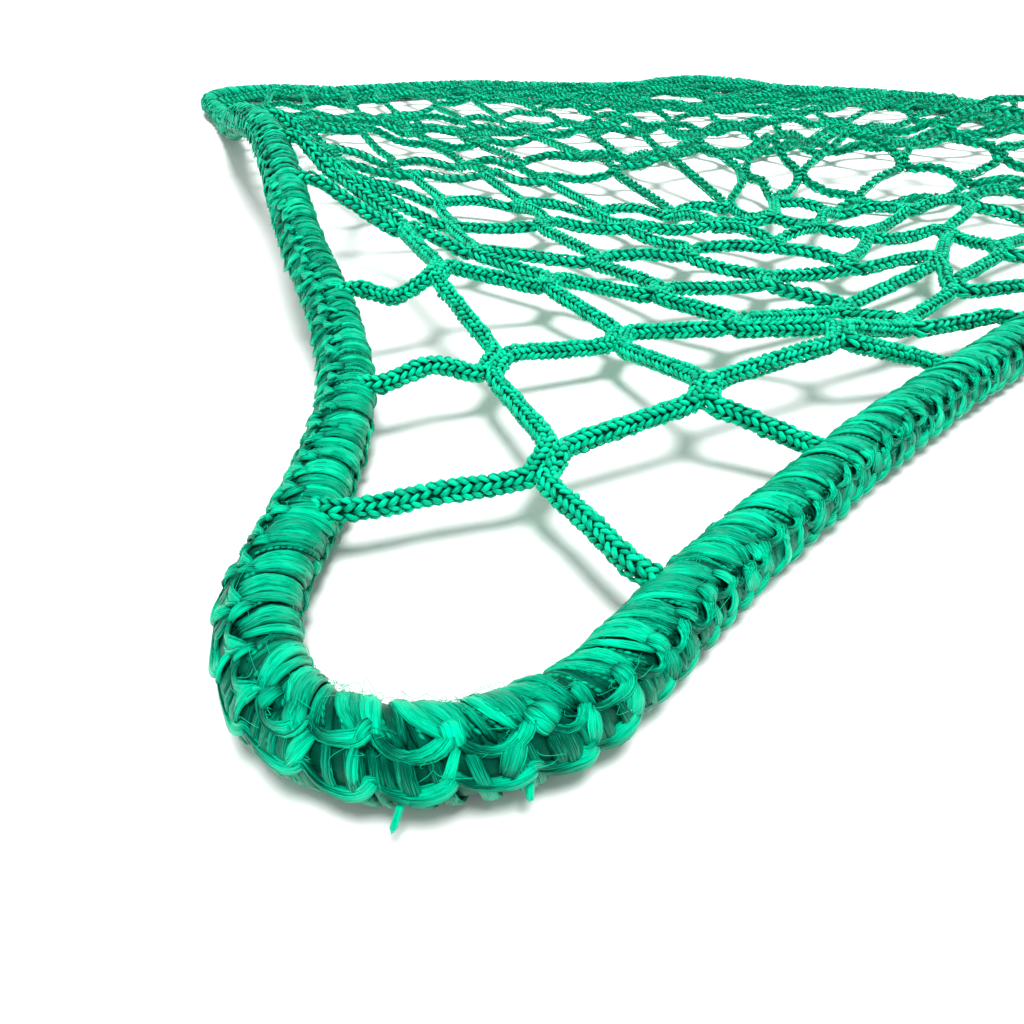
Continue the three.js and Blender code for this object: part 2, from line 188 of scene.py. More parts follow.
def spline(points, steps, closed):
    """Points of a centripetal spline through the given ones."""
    if closed:
        around = np.concatenate([points[-1:], points, points[:2]])
    else:
        around = np.concatenate([[2 * points[0] - points[1]], points, [2 * points[-1] - points[-2]]])
    t = (np.arange(steps) / steps)[:, None]
    made = []
    for p0, p1, p2, p3 in zip(around[:-3], around[1:-2], around[2:-1], around[3:]):
        pairs = ((p0, p1), (p1, p2), (p2, p3))
        d0, d1, d2 = (max(np.sum((q - p) ** 2) ** CENTRIPETAL, LEAST_STEP) for p, q in pairs)
        m1 = ((p1 - p0) / d0 - (p2 - p0) / (d0 + d1) + (p2 - p1) / d1) * d1
        m2 = ((p2 - p1) / d1 - (p3 - p1) / (d1 + d2) + (p3 - p2) / d2) * d1
        square = -3 * p1 + 3 * p2 - 2 * m1 - m2
        cube = 2 * p1 - 2 * p2 + m1 + m2
        made.append(p1 + m1 * t + square * t**2 + cube * t**3)
    made.append(around[-2][None])
    return np.concatenate(made)


class Line:
    """A line in space with its level left side and its upper side, read by distance along it."""

    def __init__(self, points):
        self.points = points
        steps = np.linalg.norm(np.diff(points, axis=0), axis=1)
        self.reached = np.concatenate([[0], np.cumsum(steps)])
        self.length = self.reached[-1]

    def set_frames(self, closed):
        """Works out the line's directions at its points."""
        around = self.points
        if closed:
            around = np.concatenate([self.points[-2:-1], self.points, self.points[1:2]])
            along = unit(around[2:] - around[:-2])
        else:
            along = unit(np.gradient(around, axis=0))
        self.left = unit(np.cross(UP, along))
        self.up = np.cross(along, self.left)
        self.along = along
        self.closed = closed
        return self

    def read(self, values, distance):
        """Values of the line's points, at distances along it."""
        s = distance % self.length if self.closed else np.clip(distance, 0, self.length)
        flat = np.stack([np.interp(s.ravel(), self.reached, values[:, k]) for k in range(3)], axis=1)
        return flat.reshape(*s.shape, 3)

    def place(self, distance, angle, radius):
        """Points round the line, by angle from its upper side to its right, and their outward ways."""
        left = unit(self.read(self.left, distance))
        up = unit(self.read(self.up, distance))
        outward = up * np.cos(angle)[..., None] - left * np.sin(angle)[..., None]
        return self.read(self.points, distance) + outward * radius[..., None], outward


def rope_line():
    """The rope's middle line, no lower than a rope that lies on the floor."""
    points = spline(ROPE_PATH + (0, 0, ROPE_SIZE / 2), ROPE_POINTS, True)
    points[:, 2] = np.maximum(points[:, 2], ROPE_SIZE / 2)
    return Line(points).set_frames(True)


rope = rope_line()


def rope_holds():
    """Distances along the rope at which the netting's edge meets it, by mesh numbers."""
    tips = [rope.reached[edge.tip * ROPE_POINTS] for edge in SIDES]
    ends = tips[1:] + [rope.length]
    k = np.arange(MESHES - 1)
    spaces = MESHES - 2
    fade = (1 - np.exp(-k / HOLD_FADE)) / (1 - math.exp(-spaces / HOLD_FADE))
    runs = []
    for start, end, edge in zip(tips, ends, SIDES):
        even = (end - start - edge.first - edge.last - edge.spread - edge.gap) / spaces
        runs.append(edge.first + even * k + edge.spread * fade + edge.gap * (k >= edge.before))
    at = np.zeros((MESHES + 1, MESHES + 1))
    at[0, 0], at[MESHES, 0], at[MESHES, MESHES], at[0, MESHES] = tips
    at[1:MESHES, 0] = tips[0] + runs[0]
    at[MESHES, 1:MESHES] = tips[1] + runs[1]
    at[MESHES - 1:0:-1, MESHES] = tips[2] + runs[2]
    at[0, 1:MESHES] = rope.length - runs[3]
    return at


holds = rope_holds()
INSIDE = slice(1, MESHES)


def on_rope(a, b):
    """Whether a joint, by its mesh numbers, is a place on the rope."""
    return a in (0, MESHES) or b in (0, MESHES)


def spread_joints():
    """Joints spread evenly between the four sides of the rope."""
    grid = rope.read(rope.points, holds)
    u = (np.arange(MESHES + 1) / MESHES)[:, None, None]
    v = (np.arange(MESHES + 1) / MESHES)[None, :, None]
    sides = (1 - v) * grid[:, :1] + v * grid[:, -1:] + (1 - u) * grid[:1] + u * grid[-1:]
    corners = (
        (1 - u) * (1 - v) * grid[0, 0] + u * (1 - v) * grid[-1, 0]
        + (1 - u) * v * grid[0, -1] + u * v * grid[-1, -1]
    )
    grid[INSIDE, INSIDE] = (sides - corners)[INSIDE, INSIDE]
    return grid


def pull_corner(grid):
    """Moves the joints by the pulled corner, less and less further away."""
    a, b = np.meshgrid(np.arange(MESHES + 1), np.arange(MESHES + 1), indexing="ij")
    shift = np.zeros_like(grid)
    total = np.zeros(grid.shape[:2])
    for right, left, *place in PULLED:
        weight = ((a - right) ** 2 + (b - left) ** 2 + PULL_SOFT) ** PULL_POWER
        shift += weight[..., None] * (np.array(place) - grid[right, left])
        total += weight
    beyond = np.maximum(np.maximum(a, b) - PULLED_MESHES, 0)
    moved = grid + shift * (np.exp(-beyond / PULL_FADE) / total)[..., None]
    grid[INSIDE, INSIDE] = moved[INSIDE, INSIDE]
    for right, left, *place in PULLED:
        grid[right, left] = place


def clear_rope(joint):
    """Moves a joint in from the rope where it would lie too near it."""
    k = int(np.argmin(np.sum((rope.points[:, :2] - joint[:2]) ** 2, axis=1)))
    away = (joint - rope.points[k]) @ rope.left[k]
    if away < ROPE_CLEAR:
        joint += rope.left[k] * (ROPE_CLEAR - away)


def ease(grid, free, start, end, wanted):
    """Moves the ends of many cords in plan, towards their wanted length."""
    cord = (grid[end] - grid[start]) * PLAN
    length = np.linalg.norm(cord, axis=-1, keepdims=True)
    share = free[start] + free[end]
    strength = np.where(length > wanted, PULL_LONG, PUSH_SHORT)
    step = cord * (length - wanted) * strength / (np.maximum(length, LEAST) * np.maximum(share, 1))
    grid[start] += step * free[start]
    grid[end] -= step * free[end]


def gather_joints(grid, free):
    """Draws the joints together in plan until the cords are near their gathered length."""
    line, gap = np.meshgrid(np.arange(MESHES + 1), np.arange(MESHES) + 0.5, indexing="ij")
    reach = MESH_PITCH * (1 - GATHER * smooth(GATHER_FROM, GATHER_TO, line + gap))[..., None]
    for _ in range(EVEN_ROUNDS):
        for odd in (0, 1):
            low = slice(odd, MESHES, 2)
            high = slice(odd + 1, MESHES + 1, 2)
            ease(grid, free, (low, INSIDE), (high, INSIDE), reach.swapaxes(0, 1)[low, INSIDE])
            ease(grid, free, (INSIDE, low), (INSIDE, high), reach[INSIDE, low])
        middle = (grid[:-2, INSIDE] + grid[2:, INSIDE] + grid[INSIDE, :-2] + grid[INSIDE, 2:]) / 4
        grid[INSIDE, INSIDE] += EVEN_SHARE * free[INSIDE, INSIDE] * (middle - grid[INSIDE, INSIDE])
        for a in range(1, MESHES):
            for b in range(1, MESHES):
                if free[a, b, 0] and min(a, b, MESHES - a, MESHES - b) <= CLEAR_MESHES:
                    clear_rope(grid[a, b])


def fold_height(x, y):
    """Height of the netting's folds over the floor."""
    height = np.zeros_like(x)
    for fold in FOLDS:
        turn = math.radians(fold.heading)
        along = (x - fold.x) * math.cos(turn) + (y - fold.y) * math.sin(turn)
        across = (y - fold.y) * math.cos(turn) - (x - fold.x) * math.sin(turn)
        height += fold.height * np.exp(-((along / fold.length) ** 2) - (across / fold.width) ** 2)
    return height


def lay_net():
    """Places of the joints by mesh numbers, with those on the rope at its middle line."""
    grid = spread_joints()
    pull_corner(grid)
    free = np.zeros((MESHES + 1, MESHES + 1, 1))
    free[INSIDE, INSIDE] = 1
    for right, left, *_ in PULLED:
        free[right, left] = 0
    gather_joints(grid, free)
    a, b = np.meshgrid(np.arange(MESHES + 1), np.arange(MESHES + 1), indexing="ij")
    inward = np.minimum(np.minimum(a, b), np.minimum(MESHES - a, MESHES - b))
    rise = EDGE_RISE * np.exp(-(inward - 1) / EDGE_FADE) + RIPPLE_BASE
    for ripple in RIPPLES:
        rise = rise + ripple.height * np.sin(ripple.by_right * a + ripple.by_left * b)
    height = LOW_CORD + np.maximum(0, rise + fold_height(grid[..., 0], grid[..., 1]))
    grid[..., 2] = np.where(free[..., 0] > 0, height, grid[..., 2])
    return grid


joints = lay_net()


def joint_ways():
    """Each joint's direction away from the pulled corner, its right side and its size."""
    ahead = np.zeros_like(joints)
    ahead[INSIDE, INSIDE] = unit(
        joints[2:, INSIDE] + joints[INSIDE, 2:] - joints[:-2, INSIDE] - joints[INSIDE, :-2]
    )
    side = unit(np.cross(ahead, UP))
    size = np.ones((MESHES + 1, MESHES + 1))
    for a in range(1, MESHES):
        for b in range(1, MESHES):
            room = [
                np.linalg.norm(joints[a, b] - joints[c, d]) - (ROPE_SIZE / 2 if on_rope(c, d) else 0)
                for c, d in ((a + 1, b), (a, b + 1), (a - 1, b), (a, b - 1))
            ]
            size[a, b] = min(max(min(room) / JOINT_ROOM, JOINT_LEAST), 1)
    return ahead, side, size


ahead, side, joint_size = joint_ways()

# How a cord runs into a joint: distances along the joint's trunk and across it
TRUNK_ACROSS = 1.0
ROOT_ALONG = (JOINT_LENGTH + JOINT_CROTCH) / 2
ROOT_ACROSS = JOINT_HALF_WIDTH / 2
TRUNK_ALONG = JOINT_LENGTH / 4
# How far a cord runs into the rope's cover, and how far out of it its run starts
TUCK = 3.2
TUCK_OUT = 1
CORD_STEPS = 10


def joint_end(a, b, leave, to_right):
    """The three points of a cord in its joint's trunk, from the trunk's middle outwards."""
    way = ahead[a, b] * (1 if leave else -1)
    across = side[a, b] * (1 if to_right else -1)
    places = [(0, TRUNK_ACROSS), (TRUNK_ALONG, TRUNK_ACROSS), (ROOT_ALONG, ROOT_ACROSS)]
    return [joints[a, b] + (way * u + across * v) * joint_size[a, b] for u, v in places]


def rope_end(a, b):
    """The points of a cord at the rope, from inside the cover outwards."""
    s = np.array(holds[a, b])
    inward = rope.read(rope.left, s)
    middle = rope.read(rope.points, s) + UP * HOLD_RISE
    return [middle + inward * (ROPE_SIZE / 2 + out) for out in (-TUCK, -TUCK / 2, TUCK_OUT)]


def cord_line(a, b, step_right, rise, lean):
    """The middle line of the cord from one joint to the next."""
    c, d = a + step_right, b + 1 - step_right
    start = rope_end(a, b) if on_rope(a, b) else joint_end(a, b, True, step_right == 1)
    end = rope_end(c, d) if on_rope(c, d) else joint_end(c, d, False, step_right == 0)
    held = on_rope(a, b) or on_rope(c, d)
    free = MESH_PITCH - JOINT_LENGTH - (JOINT_LENGTH / 2 if held else 0)
    chord = np.linalg.norm(end[2] - start[2])
    slack = math.sqrt(max(0, free**2 - chord**2))
    bow = smooth(TAUT_TO, SLACK_FROM, a + b) * min(BOW_MOST, BOW_SHARE * slack, BOW_OF_CHORD * chord)
    lift = SLACK.get((a, b), 0) if step_right else 0
    left = unit(np.cross(UP, end[2] - start[2]))
    middle = (start[2] + end[2]) / 2 + left * BOW_SIDE * bow * lean + UP * (BOW_RISE * bow * rise + lift)
    points = spline(np.array([*start, middle, *end[::-1]]), CORD_STEPS, False)
    points[:, 2] = np.maximum(points[:, 2], LOW_CORD)
    return Line(points).set_frames(False)


def cord_lines():
    """Every cord's line, with its distance from the camera."""
    eye = np.array([0, 0, CAMERA_HEIGHT])
    found = []
    for line in range(1, MESHES):
        for mesh in range(MESHES):
            lean = math.sin(LEAN_BY_LINE * line + LEAN_BY_MESH * mesh)
            for a, b, right, rise in (
                (mesh, line, 1, 1 if line % 2 == 0 else -1),
                (line, mesh, 0, 1 if line % 2 == 1 else -1),
            ):
                cord = cord_line(a, b, right, rise, lean)
                away = np.linalg.norm(cord.points[len(cord.points) // 2] - eye)
                found.append((cord, away, a, b))
    return found


# Limits of every yarn: how far its fibre pattern may be shifted, and its least height
FIBRE_RANGE = 50
FLOOR_LIFT = 0.05


class Yarns:
    """Collects swept yarns and turns them into one mesh."""

    def __init__(self):
        self.points = []
        self.quads = []
        self.triangles = []
        self.fibre = []
        self.tone_and_shade = []
        self.crest = []
        self.total = 0

    def sweep(self, path, outward, width, thick, sides, tone_and_shade, crest):
        """Many yarns at once, each with a point at both ends and flat ovals between them."""
        count, steps = path.shape[:2]
        rings = steps - 2
        along = unit(np.gradient(path, axis=1))
        across = unit(np.cross(along, outward))
        normal = np.cross(across, along)
        turn = 2 * math.pi * np.arange(sides) / sides
        wide = np.broadcast_to(width, (count, steps))[:, 1:-1, None] * np.cos(turn)
        high = np.broadcast_to(thick, (count, steps))[:, 1:-1, None] * np.sin(turn)
        ring = path[:, 1:-1, None] + across[:, 1:-1, None] * wide[..., None]
        ring = ring + normal[:, 1:-1, None] * high[..., None]
        points = np.concatenate([path[:, :1], ring.reshape(count, -1, 3), path[:, -1:]], axis=1)
        each = points.shape[1]
        lengths = np.linalg.norm(np.diff(path, axis=1), axis=2)
        run = np.concatenate([np.zeros((count, 1)), np.cumsum(lengths, axis=1)], axis=1)
        run = run + rng.uniform(0, FIBRE_RANGE, (count, 1))
        across_run = np.zeros((count, each))
        across_run[:, 1:-1] = wide.reshape(count, -1)
        self.fibre.append(np.stack([across_run, self.spread(run, sides)], axis=-1).reshape(-1, 2))
        self.crest.append(self.spread(np.broadcast_to(crest, (count, steps)), sides).ravel())
        self.tone_and_shade.append(np.repeat(np.broadcast_to(tone_and_shade, (count,)), each))
        at = 1 + np.arange(rings * sides).reshape(rings, sides)
        beside = np.roll(at, -1, axis=1)
        quads = np.stack([at[:-1], at[1:], beside[1:], beside[:-1]], axis=-1).reshape(-1, 4)
        first = np.stack([np.zeros(sides, int), at[0], beside[0]], axis=1)
        last = np.stack([np.full(sides, each - 1), beside[-1], at[-1]], axis=1)
        offset = self.total + each * np.arange(count)[:, None, None]
        self.quads.append((quads[None] + offset).reshape(-1, 4))
        self.triangles.append((np.concatenate([first, last])[None] + offset).reshape(-1, 3))
        self.points.append(points.reshape(-1, 3))
        self.total += count * each

    @staticmethod
    def spread(values, sides):
        """Values by step, given to every corner of a yarn's rings."""
        rings = np.repeat(values[:, 1:-1], sides, axis=1)
        return np.concatenate([values[:, :1], rings, values[:, -1:]], axis=1)

    def build(self, name, material):
        """The piece made of the yarns so far."""
        points = np.concatenate(self.points)
        points[:, 2] = np.maximum(points[:, 2], FLOOR_LIFT)
        points = (points - ORIGIN) * MM
        quads = np.concatenate(self.quads)
        triangles = np.concatenate(self.triangles)
        corners = np.concatenate([quads.ravel(), triangles.ravel()]).astype(np.int32)
        starts = np.concatenate([4 * np.arange(len(quads)), quads.size + 3 * np.arange(len(triangles))])
        mesh = bpy.data.meshes.new(name)
        mesh.vertices.add(len(points))
        mesh.vertices.foreach_set("co", points.astype(np.float32).ravel())
        mesh.loops.add(len(corners))
        mesh.loops.foreach_set("vertex_index", corners)
        mesh.polygons.add(len(starts))
        mesh.polygons.foreach_set("loop_start", starts.astype(np.int32))
        mesh.update(calc_edges=True)
        mesh.polygons.foreach_set("use_smooth", np.ones(len(starts), bool))
        layer = mesh.uv_layers.new(name="fibre")
        layer.uv.foreach_set("vector", np.concatenate(self.fibre)[corners].astype(np.float32).ravel())
        # The first attribute holds random tone and painted shade; the second holds painted light on the
        # crests and painted shade where yarns dive under
        for label, values in (("tone_and_shade", self.tone_and_shade), ("crest", self.crest)):
            spot = mesh.attributes.new(label, "FLOAT", "POINT")
            spot.data.foreach_set("value", np.concatenate(values).astype(np.float32))
        mesh.materials.append(material)
        piece = bpy.data.objects.new(name, mesh)
        bpy.context.scene.collection.objects.link(piece)
        return piece


# Knitted cord: wales of slanted stitch legs round a core. A leg has its start and run in stitches, its
# first angle and its share of half a wale, its radius at the ends and the middle, and how uneven it is.
LEG_START = -0.2
LEG_RUN = 1.45
LEG_FROM = 0.06
LEG_SHARE = 0.86
LEG_LOW = 0.95
LEG_HIGH = 1.36
LEG_THICK = 0.29
LEG_END = 0.08
LEG_SHIFT = 0.07
LEG_VARY = 0.05
CORD_CORE = 0.98
CORD_STITCHES_LEAST = 5
CORE_STEPS = 12
CORE_END = 0.3
CORE_SIDES = 5
ROLL = 0.6
TWIST = 0.012

# How finely a cord is made, by its distance from the camera, and how light its core is painted, as the
# shade between its legs
CordDetail = namedtuple("CordDetail", "stitch wales steps sides width core")
CORD_DETAIL = {
    "near": CordDetail(1.3, 4, 5, 5, 0.4, 0),
    "middle": CordDetail(1.85, 3, 5, 4, 0.48, 0.1),
    "far": CordDetail(2.7, 2, 4, 3, 0.66, 0.4),
}


def tapered(t):
    """Widths of a short yarn along it, as shares of its widest."""
    return np.sqrt(np.sin(math.pi * np.clip(t, LEG_END, 1 - LEG_END)))


def add_cord(yarns, cord, detail):
    """One cord's stitch legs and its core."""
    stitches = max(CORD_STITCHES_LEAST, round(cord.length / detail.stitch))
    pitch = cord.length / stitches
    wales = detail.wales
    t = np.linspace(0, 1, detail.steps)[None]
    start = np.arange(-1, stitches)[:, None]
    roll = rng.uniform(-ROLL, ROLL)
    bulge = np.sin(math.pi * t)
    taper = tapered(t)
    radius = LEG_LOW + (LEG_HIGH - LEG_LOW) * bulge
    for column in range(2 * wales):
        hand = 1 if column % 2 == 0 else -1
        wale = column // 2
        loose = rng.normal(0, LEG_SHIFT, (len(start), 1))
        s = np.clip(pitch * (start + LEG_START + wale / wales + LEG_RUN * t + loose), 0, cord.length)
        reach = LEG_SHARE * math.pi / wales
        turn = hand * (LEG_FROM + reach * smooth(0, 1, t) + loose)
        angle = turn + 2 * math.pi * wale / wales + roll + TWIST * s
        fat = 1 + rng.normal(0, LEG_VARY, (len(start), 1))
        path, outward = cord.place(s, angle, radius * fat)
        keep = (s[:, -1] - s[:, 0]) > pitch / 2
        wide = detail.width * taper * fat
        thick = LEG_THICK * taper * fat
        tone_and_shade = rng.uniform(0, 1, keep.sum())
        # Painted shade: each leg is lighter at its middle and darker at its tucked ends
        yarns.sweep(path[keep], outward[keep], wide[keep], thick[keep], detail.sides, tone_and_shade, bulge)
    rings = np.linspace(CORE_END, cord.length - CORE_END, CORE_STEPS)
    s = np.concatenate([[0], rings, [cord.length]])[None]
    path = cord.read(cord.points, s)
    # The core is painted dark, as the shade that shows between the legs
    yarns.sweep(path, cord.read(cord.up, s), CORD_CORE, CORD_CORE, CORE_SIDES, detail.core, detail.core)


# Stitches of the overedge: their usual pitch, how much wider they are near the loop's tip and over what
# reach of the rope, and how uneven they are
COVER_STITCH = 4.4
TIP_WIDER = 0.4
TIP_AT = -6
TIP_REACH = 24
STITCH_VARY = 0.15
# Starts in a row of stitches beyond their number: the last end, and one more before and after
EXTRA_STARTS = 3

# How far the cover is rolled round the rope, by distance from the loop's tip
Roll = namedtuple("Roll", "distance degrees")
ROLLS = [
    Roll(-150, 0),
    Roll(-115, -26),
    Roll(-40, -28),
    Roll(-18, -23),
    Roll(4, -20),
    Roll(22, -6),
    Roll(45, 0),
]


def stitch_starts(first, last):
    """Distances along the rope at which stitches start, with one more before and after."""
    count = round((last - first) / COVER_STITCH)
    middle = np.linspace(first, last, count)
    near_tip = np.exp(-(((middle - TIP_AT) / TIP_REACH) ** 2))
    wide = 1 + TIP_WIDER * near_tip + rng.normal(0, STITCH_VARY, count)
    ends = first + (last - first) * np.concatenate([[0], np.cumsum(wide)]) / wide.sum()
    return np.concatenate([[first - COVER_STITCH], ends, [last + COVER_STITCH]])


def stitch_count(starts):
    """How many stitches there are, without the ones before and after."""
    return len(starts) - EXTRA_STARTS


def stitch_place(starts, count):
    """Distances along the rope of places counted in stitches."""
    return np.interp(count, np.arange(len(starts)) - 1, starts)


def rolled(s, degrees):
    """Angles round the rope, in radians, of places on the rolled cover."""
    return np.radians(degrees + np.interp(s, [r.distance for r in ROLLS], [r.degrees for r in ROLLS]))


# Yarns of the rope's cover, by stitch of the overedge. Angles are from the rope's top to its outer side,
# in degrees. A row has the share of a stitch at which the yarn starts, its run in stitches, its angles,
# its radius at the ends and the middle, its half widths there, its half thickness, its twist, how many
# strands it has, over what half spread, how much of that at the ends, with how many fibres on each, and
# how light it is painted, as painted shade that darkens the low filling, the bottom wraps and the loose
# strands where they lie in gaps and underneath.
LOW_SHADE = 0.25
COLUMNS = "share run start middle end low high thin wide thick twist strands spread fan fibres shade"
Stitch = namedtuple("Stitch", COLUMNS)
COVER = [
    # Satin wraps over the top, with loose strands, and a low filling between them painted dark as the
    # shade in the gaps
    Stitch(-0.5, 1.0, -82, -17, 48, 3.85, 4.4, 0.3, 0.6, 0.26, 0, 4, 1.3, 0.3, 3, 1),
    Stitch(0, 0.95, -80, -14, 52, 3.8, 4.12, 0.3, 0.4, 0.24, 0, 2, 1.2, 0.5, 1, 0.8),
    Stitch(-0.05, 0.95, -90, -15, 60, 3.74, 3.88, 0.5, 0.55, 0.2, 0, 5, 2.2, 1, 0, LOW_SHADE),
    # Satin wraps round the outer side and the bottom, a little darker as painted shade underneath
    Stitch(0.5, 0.5, 42, 156, 270, 3.82, 4.08, 0.6, 0.8, 0.26, 0, 5, 2.2, 1, 0, 0.6),
    # Ties over the upper chain
    Stitch(0.44, 0.12, 21, 38, 55, 4.05, 4.44, 0.55, 0.8, 0.24, 10, 1, 0, 1, 4, 1),
    # Rungs between the two chains
    Stitch(0.52, -0.12, 48, 74, 100, 3.95, 4.34, 0.5, 0.8, 0.26, 30, 1, 0, 1, 4, 1),
    # Ties and hoops along the inner side
    Stitch(-0.5, 0.1, -58, -76, -94, 4.0, 4.42, 0.5, 0.7, 0.24, 10, 1, 0, 1, 3, 1),
    Stitch(-0.45, 1.0, -80, -91, -82, 3.9, 4.35, 0.3, 0.6, 0.28, -20, 1, 0, 1, 3, 1),
]
COVER_SHIFT = 0.13
COVER_SWING = 8
COVER_VARY = 0.28
COVER_LIFT = 0.1
COVER_SLANT = 0.24
COVER_CREST = 0.7
TWIST_VARY = 0.3
STRAND_SHIFT = 0.35
FIBRE_DRIFT = 0.2
FIBRE_WIDTH = 0.1
FIBRE_THICK = 0.09
FIBRE_TINT = 0.3

# How finely the cover is made, with no fibres far away, and how light the rope under it is painted, as
# the shade in the gaps between the wraps
CoverDetail = namedtuple("CoverDetail", "steps sides fibre_steps fibre_sides wave_steps core")
COVER_DETAIL = {"near": CoverDetail(11, 6, 8, 3, 12, 0), "far": CoverDetail(6, 4, 0, 0, 6, 0.5)}


def bend(t, start, middle, end):
    """A smooth run from start to end that passes middle half way."""
    pull = 2 * middle - (start + end) / 2
    return (1 - t) ** 2 * start + 2 * t * (1 - t) * pull + t**2 * end


def ways_across(path, outward):
    """The ways across yarns, level with what they lie on."""
    return unit(np.cross(unit(np.gradient(path, axis=1)), outward))


def tilted(path, outward, tilt):
    """The outward ways of yarns, turned about the yarns."""
    across = ways_across(path, outward)
    return outward * np.cos(tilt)[..., None] + across * np.sin(tilt)[..., None]


def add_fibres(yarns, path, outward, width, thick, fibres, steps, sides, tone_and_shade, crest):
    """Fine fibres that stand a little proud of yarns."""
    count, rows = path.shape[:2]
    pick = np.linspace(0, rows - 1, steps).round().astype(int)
    across = ways_across(path, outward)
    t = np.linspace(0, 1, rows)[None]
    for _ in range(fibres):
        phase = rng.uniform(0, 2 * math.pi, (count, 1))
        drift = rng.normal(0, FIBRE_DRIFT, (count, 1)) * np.sin(2 * math.pi * t + phase)
        spot = np.clip(rng.uniform(-1, 1, (count, 1)) + drift, -1, 1)
        lift = thick * np.sqrt(1 - spot**2)
        line = path + across * (width * spot)[..., None] + outward * lift[..., None]
        # Fibres keep their yarn's painted light and shade, with some random tone
        shade = np.clip(tone_and_shade + rng.normal(0, FIBRE_TINT, count), 0, 1)
        up = outward[:, pick]
        yarns.sweep(line[:, pick], up, FIBRE_WIDTH, FIBRE_THICK, sides, shade, crest[:, pick])


def add_cover(yarns, starts, detail):
    """The cover's stitches."""
    stitches = stitch_count(starts)
    t = np.linspace(0, 1, detail.steps)[None]
    bulge = np.sin(math.pi * t) ** COVER_CREST
    begin = np.arange(stitches)[:, None]

    def vary(size):
        return rng.normal(0, size, (stitches, 1))

    # The low filling is left out far away
    for row in COVER:
        if row.shade == LOW_SHADE and not detail.fibre_steps:
            continue
        fan = (row.fan + (1 - row.fan) * np.sin(math.pi * t)) / COVER_STITCH
        shift = vary(COVER_SHIFT)
        swing = vary(COVER_SWING)
        slant = vary(COVER_SLANT)
        for strand in range(row.strands):
            place = row.spread * ((2 * strand + 1) / row.strands - 1)
            if row.strands > 1:
                place = place + vary(STRAND_SHIFT)
            sway = swing + vary(COVER_SWING / 2)
            fat = np.exp(vary(COVER_VARY))
            part = row.share + shift + (row.run + slant) * t - slant / 2 + place * fan
            s = stitch_place(starts, begin + part)
            angle = rolled(s, bend(t, row.start, row.middle, row.end) + sway * np.sin(math.pi * t))
            radius = row.low + (row.high - row.low + vary(COVER_LIFT)) * bulge
            path, outward = rope.place(s, angle, radius)
            facing = tilted(path, outward, np.radians(row.twist) * (2 * t - 1 + vary(TWIST_VARY)))
            width = (row.thin + (row.wide - row.thin) * np.sin(math.pi * t)) * fat
            # Painted shade: the row's lightness caps its random tone and scales its crests, so low rows
            # and tucked ends are darker
            tone_and_shade = rng.uniform(0, row.shade, stitches)
            crest = np.broadcast_to(row.shade * bulge, s.shape)
            yarns.sweep(path, facing, width, row.thick, detail.sides, tone_and_shade, crest)
            if detail.fibre_steps:
                add_fibres(
                    yarns, path, facing, width, row.thick, row.fibres,
                    detail.fibre_steps, detail.fibre_sides, tone_and_shade, crest,
                )


# The two chains of the overedge, which run along the rope in waves. A row has the chain's angle, its
# swing in degrees, its middle radius and its rise and fall, its half width at the crests and the dips,
# its half thickness, its tilt and how far that swings, and its fibres.
Chain = namedtuple("Chain", "angle swing radius rise wide narrow thick tilt twist fibres")
CHAINS = [
    Chain(50, 10, 4.24, 0.16, 0.9, 0.55, 0.26, 0, 40, 4),
    Chain(98, 10, 4.18, 0.14, 0.95, 0.6, 0.26, -28, -30, 4),
]
CHAIN_LEAN = -0.12
CHAIN_SHIFT = 0.1
CHAIN_VARY = 0.4
CHAIN_TINT = 0.6


def add_chains(yarns, starts, detail):
    """The cover's two chains."""
    stitches = stitch_count(starts)
    steps = detail.wave_steps
    count = stitches * steps
    k = np.arange(-1, count + 2)[None] / steps

    def uneven(size):
        values = rng.normal(0, size, stitches + 1)
        values[[0, -1]] = 0
        return np.interp(k, np.arange(stitches + 1), values)

    for chain in CHAINS:
        phase = 2 * math.pi * (k + uneven(CHAIN_SHIFT))
        wave = np.cos(phase)
        s = stitch_place(starts, k - CHAIN_LEAN * np.sin(phase))
        swell = 1 + uneven(CHAIN_VARY)
        sway = uneven(CHAIN_VARY)
        angle = rolled(s, chain.angle + chain.swing * (wave * swell + sway))
        # The crest share widens the chain and paints it lighter on its crests and darker in its dips, as
        # painted light and shade
        crest = (1 + np.sin(phase)) / 2
        radius = chain.radius + chain.rise * (np.sin(phase) + uneven(CHAIN_VARY))
        path, outward = rope.place(s, angle, radius)
        facing = tilted(path, outward, np.radians(chain.tilt + chain.twist * wave))
        width = (chain.narrow + (chain.wide - chain.narrow) * crest) * (1 + uneven(CHAIN_VARY / 2))
        tone_and_shade = np.array([CHAIN_TINT])
        yarns.sweep(path, facing, width, chain.thick, detail.sides, tone_and_shade, crest)
        if detail.fibre_steps:
            add_fibres(
                yarns, path, facing, width, chain.thick, chain.fibres,
                path.shape[1], detail.fibre_sides, tone_and_shade, crest,
            )


# The rope under its cover, and the plied yarns that show between the wraps: by stitch, their share of a
# stitch at the inner side and their run, their angles and radius, and the sizes of their short turns
ROPE_CORE = 3.75
CORE_STEP = 4
ROPE_CORE_SIDES = 16
PLY_SHARES = (-0.09, 0.15)
PLY_RUN = 0.95
PLY_FROM = -78
PLY_TO = 40
PLY_RADIUS = 4.05
PLY_TURNS = 14
PLY_LONG = 0.7
PLY_SLANT = 0.32
PLY_WIDTH = 0.24
PLY_THICK = 0.22
PLY_STEPS = 5
PLY_SIDES = 4
PLY_TINT = 0.8
PLY_CREST = 0.7


